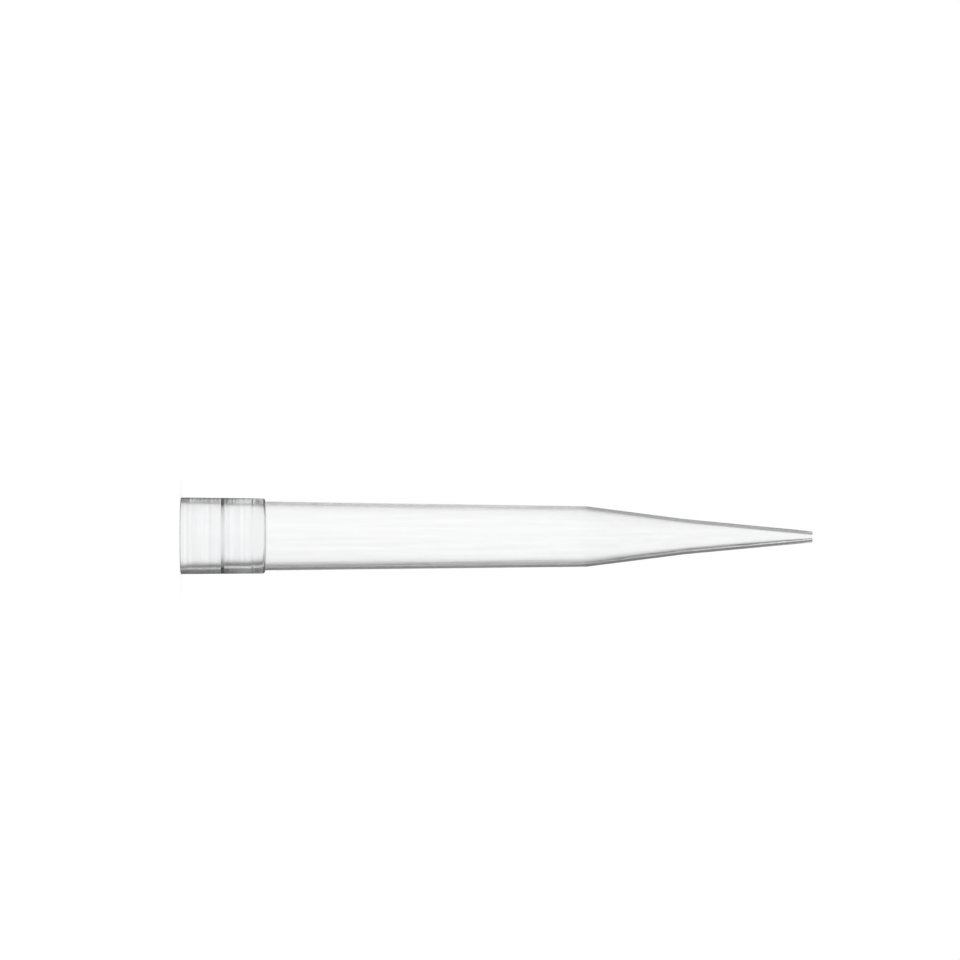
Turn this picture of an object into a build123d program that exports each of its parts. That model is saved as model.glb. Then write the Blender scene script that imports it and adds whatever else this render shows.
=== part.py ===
"""A 1000 microlitre pipette tip, moulded in one piece from natural polypropylene.

The tip is a body of revolution about +Z. It stands on its mouth: the flat rim lies on
Z = 0, the origin is the rim's centre, and the orifice is at the top. From the mouth up
it is a thick-walled collar that grips the pipette's nozzle, a long chamber with a
slight mould draft, a shoulder, and a cone in two stages that ends at the orifice.
"""

from build123d import *
from math import pi, radians, tan
import os

# ---- Driving dimensions, in millimetres and degrees ----
# Lengths along the axis.
overall_length = 71.5
collar_length = 9.55
upper_cone_length = 11.1
lower_cone_length = 14.5

# The nozzle's seat is the bore that a pipette is pressed into. Every other radius in
# the collar and the chamber steps down or up from it.
seat_bore = 7.40
seat_start = 4.90
seat_length = 3.15

# From the rim to the seat: a funnel, a slightly wider drafted entry, and a short step.
lead_in_depth = 1.05
lead_in_flare = 0.06
entry_clearance = 0.11
entry_step_length = 0.32

# Beyond the seat: a small step onto a drafted land, a conical stop, a relieved length with
# the chamber's draft, and the step into the chamber.
land_step_length = 0.15
land_step_depth = 0.04
land_length = 0.70
stop_length = 0.35
stop_depth = 0.045
relief_length = 1.85
chamber_step_length = 1.1
chamber_step_depth = 0.02

# Walls, each measured square to the axis.
collar_wall = 0.565
chamber_wall = 0.30
shoulder_wall = 0.29
break_wall = 0.28
orifice_wall = 0.29

# Bores of the cone, where its two stages meet and at the end.
break_bore = 3.44
orifice_bore = 0.68

# Mould drafts.
collar_draft = 0.40
collar_bore_draft = 0.50
chamber_draft = 0.73

# The narrowest flat ring to keep on the collar's step.
step_ring = 0.08

# Rounded edges and blended bends.
rim_round = 0.10
collar_round = 0.28
bore_round = 0.15
orifice_round = 0.05
shoulder_blend = 4.0
cone_blend = 12.0

polypropylene_density = 905.0  # kg per cubic metre


# ---- Places along the axis ----
entry_end = seat_start - entry_step_length
seat_end = seat_start + seat_length
land_start = seat_end + land_step_length
stop_start = land_start + land_length
stop_end = stop_start + stop_length
relief_end = stop_end + relief_length
chamber_start = relief_end + chamber_step_length
cone_break = overall_length - lower_cone_length
shoulder = cone_break - upper_cone_length

# ---- Radii of the bore ----
seat_radius = seat_bore / 2
entry_end_radius = seat_radius + entry_clearance
entry_radius = entry_end_radius + (entry_end - lead_in_depth) * tan(radians(collar_bore_draft))
mouth_radius = entry_radius + lead_in_flare
land_radius = seat_radius - land_step_depth
stop_radius = land_radius - land_length * tan(radians(collar_bore_draft))
relief_radius = stop_radius - stop_depth
relief_end_radius = relief_radius - relief_length * tan(radians(chamber_draft))
chamber_top_radius = relief_end_radius - chamber_step_depth
chamber_end_radius = chamber_top_radius - (shoulder - chamber_start) * tan(radians(chamber_draft))
break_radius = break_bore / 2
orifice_radius = orifice_bore / 2

# ---- Radii of the outside ----
collar_end_radius = seat_radius + collar_wall
collar_rim_radius = collar_end_radius + collar_length * tan(radians(collar_draft))
body_end_radius = chamber_end_radius + shoulder_wall
body_slope = (chamber_top_radius + chamber_wall - body_end_radius) / (shoulder - chamber_start)
body_start_radius = body_end_radius + body_slope * (shoulder - collar_length)
break_outer_radius = break_radius + break_wall
orifice_outer_radius = orifice_radius + orifice_wall

# The tip hangs in a rack on the flat ring left of the collar's step, so the rounded
# edge takes no more of the step than leaves that ring.
step_height = collar_end_radius - body_start_radius
step_round = min(collar_round, step_height - step_ring)


def corner(profile, radius, height):
    """The corner of a sketched profile nearest to this radius and height."""
    return profile.vertices().sort_by_distance((radius, height, 0))[0]


# ---- The tip ----
with BuildPart() as pipette_tip:
    # Outside: collar, drafted body, shoulder and the two stages of the cone.
    with BuildSketch(Plane.XZ) as outside:
        with BuildLine():
            Polyline(
                (0, 0),
                (collar_rim_radius, 0),
                (collar_end_radius, collar_length),
                (body_start_radius, collar_length),
                (body_end_radius, shoulder),
                (break_outer_radius, cone_break),
                (orifice_outer_radius, overall_length),
                (0, overall_length),
                close=True,
            )
        make_face()
        fillet(corner(outside, collar_rim_radius, 0), rim_round)
        fillet(corner(outside, collar_end_radius, collar_length), step_round)
        fillet(corner(outside, body_end_radius, shoulder), shoulder_blend)
        fillet(corner(outside, break_outer_radius, cone_break), cone_blend)
        fillet(corner(outside, orifice_outer_radius, overall_length), orifice_round)
    revolve(axis=Axis.Z)

    # Bore: mouth, entry, nozzle seat, land, stop, relief, chamber and the cone's channel.
    with BuildSketch(Plane.XZ) as bore:
        with BuildLine():
            Polyline(
                (0, 0),
                (mouth_radius, 0),
                (entry_radius, lead_in_depth),
                (entry_end_radius, entry_end),
                (seat_radius, seat_start),
                (seat_radius, seat_end),
                (land_radius, land_start),
                (stop_radius, stop_start),
                (relief_radius, stop_end),
                (relief_end_radius, relief_end),
                (chamber_top_radius, chamber_start),
                (chamber_end_radius, shoulder),
                (break_radius, cone_break),
                (orifice_radius, overall_length),
                (0, overall_length),
                close=True,
            )
        make_face()
        fillet(corner(bore, entry_radius, lead_in_depth), bore_round)
        fillet(corner(bore, seat_radius, seat_end), bore_round)
        fillet(corner(bore, land_radius, land_start), bore_round)
        fillet(corner(bore, stop_radius, stop_start), bore_round)
        fillet(corner(bore, relief_radius, stop_end), bore_round)
        fillet(corner(bore, relief_end_radius, relief_end), bore_round)
        fillet(corner(bore, chamber_top_radius, chamber_start), bore_round)
        fillet(corner(bore, chamber_end_radius, shoulder), shoulder_blend)
        fillet(corner(bore, break_radius, cone_break), cone_blend)
    revolve(axis=Axis.Z, mode=Mode.SUBTRACT)

pipette_tip.part.label = "pipette_tip"

os.makedirs("parts", exist_ok=True)
export_step(pipette_tip.part, "parts/pipette_tip.step")


# ---- What the design gives ----
def frustum_volume(height, radius_a, radius_b):
    """The volume of a frustum of a cone."""
    return pi * height * (radius_a**2 + radius_a * radius_b + radius_b**2) / 3


capacity = (
    frustum_volume(shoulder - chamber_start, chamber_top_radius, chamber_end_radius)
    + frustum_volume(upper_cone_length, chamber_end_radius, break_radius)
    + frustum_volume(lower_cone_length, break_radius, orifice_radius)
)
volume = pipette_tip.part.volume
print(f"collar {2 * collar_rim_radius:.2f} mm across, step {step_height:.3f} mm")
print(f"shoulder at {shoulder:.2f} mm, cone break at {cone_break:.2f} mm")
print(f"chamber and cone hold {capacity:.0f} microlitres")
print(f"solid {volume:.1f} mm3, {volume * 1e-9 * polypropylene_density * 1000:.3f} g")
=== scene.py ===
from math import cos, pi, radians, sin

import bmesh
import bpy
from mathutils import Matrix, Vector


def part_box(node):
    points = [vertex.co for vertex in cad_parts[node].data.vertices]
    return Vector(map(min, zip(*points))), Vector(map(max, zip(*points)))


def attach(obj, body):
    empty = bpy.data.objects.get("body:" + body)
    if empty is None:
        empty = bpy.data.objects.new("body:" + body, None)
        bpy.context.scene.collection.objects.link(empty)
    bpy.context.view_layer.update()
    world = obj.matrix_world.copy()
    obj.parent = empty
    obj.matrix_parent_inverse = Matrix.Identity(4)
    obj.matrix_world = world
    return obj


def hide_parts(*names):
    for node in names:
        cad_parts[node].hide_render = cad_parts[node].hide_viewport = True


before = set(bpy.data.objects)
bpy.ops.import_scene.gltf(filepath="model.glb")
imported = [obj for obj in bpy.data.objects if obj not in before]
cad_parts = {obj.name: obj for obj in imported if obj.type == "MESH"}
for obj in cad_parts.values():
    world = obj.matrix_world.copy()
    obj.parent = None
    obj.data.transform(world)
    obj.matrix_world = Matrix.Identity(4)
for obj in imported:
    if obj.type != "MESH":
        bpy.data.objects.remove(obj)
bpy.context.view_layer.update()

NODE = "pipette_tip"
tip_low, tip_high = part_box(NODE)
tip_length = tip_high.z - tip_low.z
collar_radius = tip_high.x

# ---- Mesh ----
SEGMENTS = 240  # faces round the axis
WELD = 1e-8  # vertices nearer than this are one
SHARP = radians(10)  # a bend over this between two faces is a real edge
COLLAR_SHARE = 0.96  # an outline point wider than this share of the tip is on the collar

# ---- Finish of the plastic ----
CLEAREST = (1.0, 1.0, 1.0, 1)  # the plastic's tint where it is clearest
CLOUDIEST = (0.93, 0.935, 0.94, 1)  # and where it is cloudiest
CLOUD_SIZE = 0.0012
TONE_RANGE = (0.36, 0.64)  # the noise at which the tint is clearest and cloudiest
BODY_ROUGHNESS = (0.08, 0.13)  # from the glossiest spots to the dullest
COLLAR_ROUGHNESS = (0.07, 0.11)
COLLAR_FADE = 0.0002  # the collar's finish turns into the body's over this height
RING_SIZE = 0.0004  # the collar's turned rings
RING_STRETCH = 1e3  # so wide beside their height that they go right round
RING_DEPTH = 4e-6
RING_TONE = 1.0  # how far a ring goes from clearest to cloudiest
FLOW_SIZE = 0.0004  # the faint flow lines down the body
FLOW_STRETCH = 25
FLOW_DEPTH = 6e-6
FLOW_TONE = 0.5  # how far a flow line goes from clearest to cloudiest
REFRACTION = 1.49
CLARITY = 0.98  # the rest of the light is scattered
MILK = (0.5, 0.5, 0.52, 1)  # the tint that light takes on in the plastic's depth
MILK_DENSITY = 60  # per metre
SHADOW_PASS = (0.85, 0.85, 0.85, 1)  # what each surface lets through to the shadow

# ---- Camera: it looks along +Y with the tip's axis level in the picture ----
LENS = 360.0  # mm, so long that the collar's ends look straight
SENSOR = 36.0  # mm
VIEW_DEPTH = (0.01, 10.0)  # the nearest and farthest that the camera sees
PICTURE_WIDTH = 1.5203 * tip_length  # what the picture takes in at the axis
PICTURE_CENTRE = 0.4736  # where the picture's centre lies along the tip, from the mouth
AXIS_DROP = 0.0901 * tip_length  # how far the axis lies below the picture's centre
PICTURE_LEAN = radians(0.10)  # the axis falls this much towards the orifice

# ---- Surroundings: what the plastic shows, as brightness beside white ----
PANELS = 8  # bright panels in a ring round the tip
PANEL_TURN = radians(8)  # one panel's middle is this far round from +Y towards -X
PANEL_START = (-0.7, -1.0)  # where a panel starts on the -X and +X sides, as a cosine of its turn
PANEL_FULL = (0.95, -0.65)  # and where it is full
PANEL_LIGHT = 1.14  # what a panel gives beside white
GAP_LIGHT = (0.45, 0.15)  # and the gaps on the -X and +X sides
ROOM_BELOW = (0.08, 0.06)  # the room, which is mirrored: below, on the -X and +X sides
ROOM_LEVEL = (1.08, 0.40)  # level with the tip
ROOM_ABOVE = (0.44, 0.20)  # and above it
LEVEL_START = (-0.0245, -0.0165)  # where below turns into level, as the sine of the elevation
LEVEL_END = (0.0, 0.04)  # and where level turns into above
SIDES = (-0.25, 0.25)  # where one side turns into the other, as the sine of the turn
OVERHEAD = 0.25  # what the plastic shows overhead
OVERHEAD_FROM = (0.04, 0.36)  # where that starts and is full, as the sine of the elevation
UNDERFOOT = 0.90  # what it shows underfoot, which is the table
UNDERFOOT_FROM = (0.45, 0.80)  # and where that starts and is full, downwards
AMBIENT = 0.55  # what lights the floor and whatever scatters in the plastic

KEY_ELEVATION = radians(50)
KEY_SPREAD = radians(7)
KEY_STRENGTH = (1 - AMBIENT) * pi / sin(KEY_ELEVATION)  # the floor's light comes to 1 in all

FLOOR_RADIUS = 0.5
FLOOR_SEGMENTS = 96
FLOOR_SHADE = 0.75  # the floor's paper, which takes the shadow
FLOOR_GLOW = 0.30  # and what makes it white to the camera


# ---- Helpers for node trees ----
class Tree:
    """A node tree, built from its first nodes to its output."""

    def __init__(self, owner):
        owner.use_nodes = True
        self.tree = owner.node_tree
        self.tree.nodes.clear()

    def add(self, kind, **inputs):
        """Adds a node, and links or sets its inputs by name."""
        node = self.tree.nodes.new(kind)
        for name, value in inputs.items():
            self.put(node, name.replace("_", " "), value)
        return node

    def put(self, node, name, value):
        """Links a socket to a node's input, or sets the input's own value."""
        socket = node.inputs[name]
        if isinstance(value, bpy.types.NodeSocket):
            self.tree.links.new(value, socket)
        else:
            socket.default_value = value

    def math(self, operation, *values):
        """The output of a math node."""
        node = self.tree.nodes.new("ShaderNodeMath")
        node.operation = operation
        for index, value in enumerate(values):
            self.put(node, index, value)
        return node.outputs[0]

    def ramp(self, value, start, end):
        """A smooth step from 0 at start to 1 at end."""
        node = self.add("ShaderNodeMapRange", Value=value, From_Min=start, From_Max=end)
        node.interpolation_type = "SMOOTHSTEP"
        return node.outputs["Result"]

    def mix(self, share, first, second):
        """A mix of two numbers."""
        node = self.tree.nodes.new("ShaderNodeMix")
        node.data_type = "FLOAT"
        self.put(node, 0, share)
        self.put(node, 2, first)
        self.put(node, 3, second)
        return node.outputs[0]

    def mix_shaders(self, share, first, second):
        """A mix of the shaders of two nodes."""
        node = self.tree.nodes.new("ShaderNodeMixShader")
        self.put(node, 0, share)
        self.put(node, 1, first.outputs[0])
        self.put(node, 2, second.outputs[0])
        return node

    def ray_kinds(self):
        """What kind of ray arrives, and whether it comes by way of gloss or clear plastic."""
        rays = self.add("ShaderNodeLightPath").outputs
        bent = self.math("MAXIMUM", rays["Is Glossy Ray"], rays["Is Transmission Ray"])
        return rays, bent


# ---- The tip ----
def outline_of(node):
    """The section of a CAD node of revolution: its points (radius, height) in order.

    They are the ring of vertices on the mesh's seam, which lies in the plane Y = 0 at X > 0.
    From the rim's inner corner they go outwards along the rim, up the outside, over the far
    end and down the bore.
    """
    bm = bmesh.new()
    bm.from_mesh(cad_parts[node].data)
    bmesh.ops.remove_doubles(bm, verts=bm.verts[:], dist=WELD)
    seam = {v for v in bm.verts if v.co.x > 0 and abs(v.co.y) < WELD}
    here = min(seam, key=lambda v: (v.co.z, v.co.x))
    ring = []
    while here is not None:
        ring.append((here.co.x, here.co.z))
        seam.discard(here)
        beside = [e.other_vert(here) for e in here.link_edges]
        here = max((v for v in beside if v in seam), key=lambda v: v.co.x, default=None)
    bm.free()
    return ring


def lathe(name, ring):
    """A closed ring of points turned about the Z axis.

    The faces look out of the solid where the ring goes up its outside and down its bore.
    """
    verts = []
    faces = []
    for step in range(SEGMENTS):
        turn = 2 * pi * step / SEGMENTS
        verts += [(radius * cos(turn), radius * sin(turn), height) for radius, height in ring]
        this = step * len(ring)
        after = (step + 1) % SEGMENTS * len(ring)
        for i in range(len(ring)):
            j = (i + 1) % len(ring)
            faces.append((this + i, after + i, after + j, this + j))
    mesh = bpy.data.meshes.new(name)
    mesh.from_pydata(verts, [], faces)
    mesh.shade_smooth()
    mesh.set_sharp_from_angle(angle=SHARP)
    piece = bpy.data.objects.new(name, mesh)
    bpy.context.scene.collection.objects.link(piece)
    weighted = piece.modifiers.new("even shading", "WEIGHTED_NORMAL")
    weighted.keep_sharp = True
    return piece


def noise(tree, place, size, detail=2.0, stretch=(1, 1, 1)):
    """Noise with features of about this size in metres, stretched along the axes."""
    scale = [1 / (size * along) for along in stretch]
    spread = tree.add("ShaderNodeMapping", Vector=place, Scale=scale)
    return tree.add("ShaderNodeTexNoise", Vector=spread.outputs[0], Scale=1.0, Detail=detail)


def natural_polypropylene(collar_end):
    """Clear, slightly clouded plastic with turned rings on the collar and flow lines above."""
    material = bpy.data.materials.new("natural_polypropylene")
    tree = Tree(material)
    place = tree.add("ShaderNodeTexCoord").outputs["Object"]
    height = tree.add("ShaderNodeSeparateXYZ", Vector=place).outputs[2]
    on_collar = tree.ramp(height, collar_end, collar_end - COLLAR_FADE)

    cloud = noise(tree, place, CLOUD_SIZE, detail=3.0).outputs["Fac"]
    low_gloss = tree.mix(on_collar, BODY_ROUGHNESS[1], COLLAR_ROUGHNESS[1])
    high_gloss = tree.mix(on_collar, BODY_ROUGHNESS[0], COLLAR_ROUGHNESS[0])
    roughness = tree.mix(cloud, high_gloss, low_gloss)

    rings = noise(tree, place, RING_SIZE, stretch=(RING_STRETCH, RING_STRETCH, 1)).outputs["Fac"]
    flow = noise(tree, place, FLOW_SIZE, stretch=(1, 1, FLOW_STRETCH)).outputs["Fac"]
    relief = tree.mix(on_collar, flow, rings)
    depth = tree.mix(on_collar, FLOW_DEPTH, RING_DEPTH)
    raised = tree.math("MULTIPLY", relief, depth)
    bump = tree.add("ShaderNodeBump", Strength=1.0, Distance=1.0, Height=raised)

    strongest = tree.mix(on_collar, FLOW_TONE, RING_TONE)
    tone = tree.math("MULTIPLY", tree.ramp(relief, *TONE_RANGE), strongest)
    tint = tree.add("ShaderNodeMix")
    tint.data_type = "RGBA"
    tree.put(tint, 0, tone)
    tree.put(tint, 6, CLEAREST)
    tree.put(tint, 7, CLOUDIEST)

    surface = tree.add(
        "ShaderNodeBsdfPrincipled",
        Base_Color=tint.outputs[2],
        Roughness=roughness,
        IOR=REFRACTION,
        Transmission_Weight=CLARITY,
        Normal=bump.outputs[0],
    )
    # Clear plastic lets most light through, so its shadow is a pale one.
    shadow_ray = tree.add("ShaderNodeLightPath").outputs["Is Shadow Ray"]
    through = tree.add("ShaderNodeBsdfTransparent", Color=SHADOW_PASS)
    both = tree.mix_shaders(shadow_ray, surface, through)
    milk = tree.add("ShaderNodeVolumeAbsorption", Color=MILK, Density=MILK_DENSITY)
    tree.add("ShaderNodeOutputMaterial", Surface=both.outputs[0], Volume=milk.outputs[0])
    return material


outline = outline_of(NODE)
collar_end = max(z for radius, z in outline if radius > COLLAR_SHARE * collar_radius)
tip = lathe("moulded_tip", outline)
tip.data.materials.append(natural_polypropylene(collar_end))
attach(tip, "root")
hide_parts(NODE)


# ---- Surroundings ----
def panel_ring(tree, x, y):
    """The brightness of the ring of panels towards the direction (x, y)."""
    turn = tree.math("ARCTAN2", x, y)
    side = tree.ramp(tree.math("SINE", turn), *SIDES)
    start = tree.mix(side, *PANEL_START)
    full = tree.mix(side, *PANEL_FULL)
    round_ring = tree.math("MULTIPLY", tree.math("ADD", turn, PANEL_TURN), PANELS)
    panel = tree.ramp(tree.math("COSINE", round_ring), start, full)
    return tree.mix(panel, tree.mix(side, *GAP_LIGHT), PANEL_LIGHT)


def studio_surround():
    """The world: white to the camera, plain light for the floor, and a studio to the plastic.

    Rays that pass through the plastic see the ring of panels. Rays that are mirrored in it
    see the room, in three levels. Overhead and underfoot are the same to both.
    """
    world = bpy.data.worlds.new("studio")
    bpy.context.scene.world = world
    tree = Tree(world)
    direction = tree.add("ShaderNodeTexCoord").outputs["Generated"]
    x, y, z = tree.add("ShaderNodeSeparateXYZ", Vector=direction).outputs
    rays, bent = tree.ray_kinds()

    side = tree.ramp(x, *SIDES)
    at_level = tree.ramp(z, *LEVEL_START)
    past_level = tree.ramp(z, *LEVEL_END)
    room = tree.mix(at_level, tree.mix(side, *ROOM_BELOW), tree.mix(side, *ROOM_LEVEL))
    room = tree.mix(past_level, room, tree.mix(side, *ROOM_ABOVE))
    mirrored = tree.math("GREATER_THAN", rays["Glossy Depth"], 0)
    around = tree.mix(mirrored, panel_ring(tree, x, y), room)

    above = tree.ramp(z, *OVERHEAD_FROM)
    below = tree.ramp(tree.math("MULTIPLY", z, -1.0), *UNDERFOOT_FROM)
    seen_in_plastic = tree.mix(below, tree.mix(above, around, OVERHEAD), UNDERFOOT)

    strength = tree.mix(bent, AMBIENT, seen_in_plastic)
    strength = tree.mix(rays["Is Camera Ray"], strength, 1.0)
    background = tree.add("ShaderNodeBackground", Color=(1, 1, 1, 1), Strength=strength)
    tree.add("ShaderNodeOutputWorld", Surface=background.outputs[0])


def key_light():
    """A soft sun from above and behind the camera, so the shadow falls behind the tip."""
    lamp = bpy.data.lights.new("key", "SUN")
    lamp.energy = KEY_STRENGTH
    lamp.angle = KEY_SPREAD
    light = bpy.data.objects.new("key", lamp)
    light.rotation_euler = (pi / 2 - KEY_ELEVATION, 0, 0)
    light.visible_glossy = False
    light.visible_transmission = False
    bpy.context.scene.collection.objects.link(light)


def pale_floor():
    """A round table: white with the tip's shadow to the camera, unseen in the plastic."""
    bm = bmesh.new()
    bmesh.ops.create_circle(bm, cap_ends=True, segments=FLOOR_SEGMENTS, radius=FLOOR_RADIUS)
    mesh = bpy.data.meshes.new("table_top")
    bm.to_mesh(mesh)
    bm.free()
    floor = bpy.data.objects.new("table_top", mesh)
    floor.location.z = tip_low.z
    bpy.context.scene.collection.objects.link(floor)
    material = bpy.data.materials.new("white_table")
    tree = Tree(material)
    rays, bent = tree.ray_kinds()
    paper = tree.add("ShaderNodeBsdfDiffuse", Color=(FLOOR_SHADE, FLOOR_SHADE, FLOOR_SHADE, 1))
    white = tree.math("MULTIPLY", rays["Is Camera Ray"], FLOOR_GLOW)
    glow = tree.add("ShaderNodeEmission", Strength=white)
    both = tree.add("ShaderNodeAddShader")
    tree.put(both, 0, paper.outputs[0])
    tree.put(both, 1, glow.outputs[0])
    clear = tree.add("ShaderNodeBsdfTransparent")
    seen = tree.mix_shaders(bent, both, clear)
    tree.add("ShaderNodeOutputMaterial", Surface=seen.outputs[0])
    mesh.materials.append(material)


studio_surround()
pale_floor()
key_light()


# ---- Camera ----
def side_camera():
    """The camera beside the tip, turned so that the mouth is at the picture's left."""
    camera = bpy.data.cameras.new("camera")
    camera.lens = LENS
    camera.sensor_width = SENSOR
    camera.clip_start, camera.clip_end = VIEW_DEPTH
    distance = PICTURE_WIDTH * LENS / SENSOR
    right, up, back = Vector((0, 0, 1)), Vector((-1, 0, 0)), Vector((0, -1, 0))
    turned = Matrix((right, up, back)).transposed() @ Matrix.Rotation(PICTURE_LEAN, 3, "Z")
    place = right * (tip_low.z + PICTURE_CENTRE * tip_length) + up * AXIS_DROP + back * distance
    viewer = bpy.data.objects.new("camera", camera)
    viewer.matrix_world = Matrix.Translation(place) @ turned.to_4x4()
    bpy.context.scene.collection.objects.link(viewer)
    bpy.context.scene.camera = viewer


side_camera()
bpy.context.scene.view_settings.view_transform = "Standard"
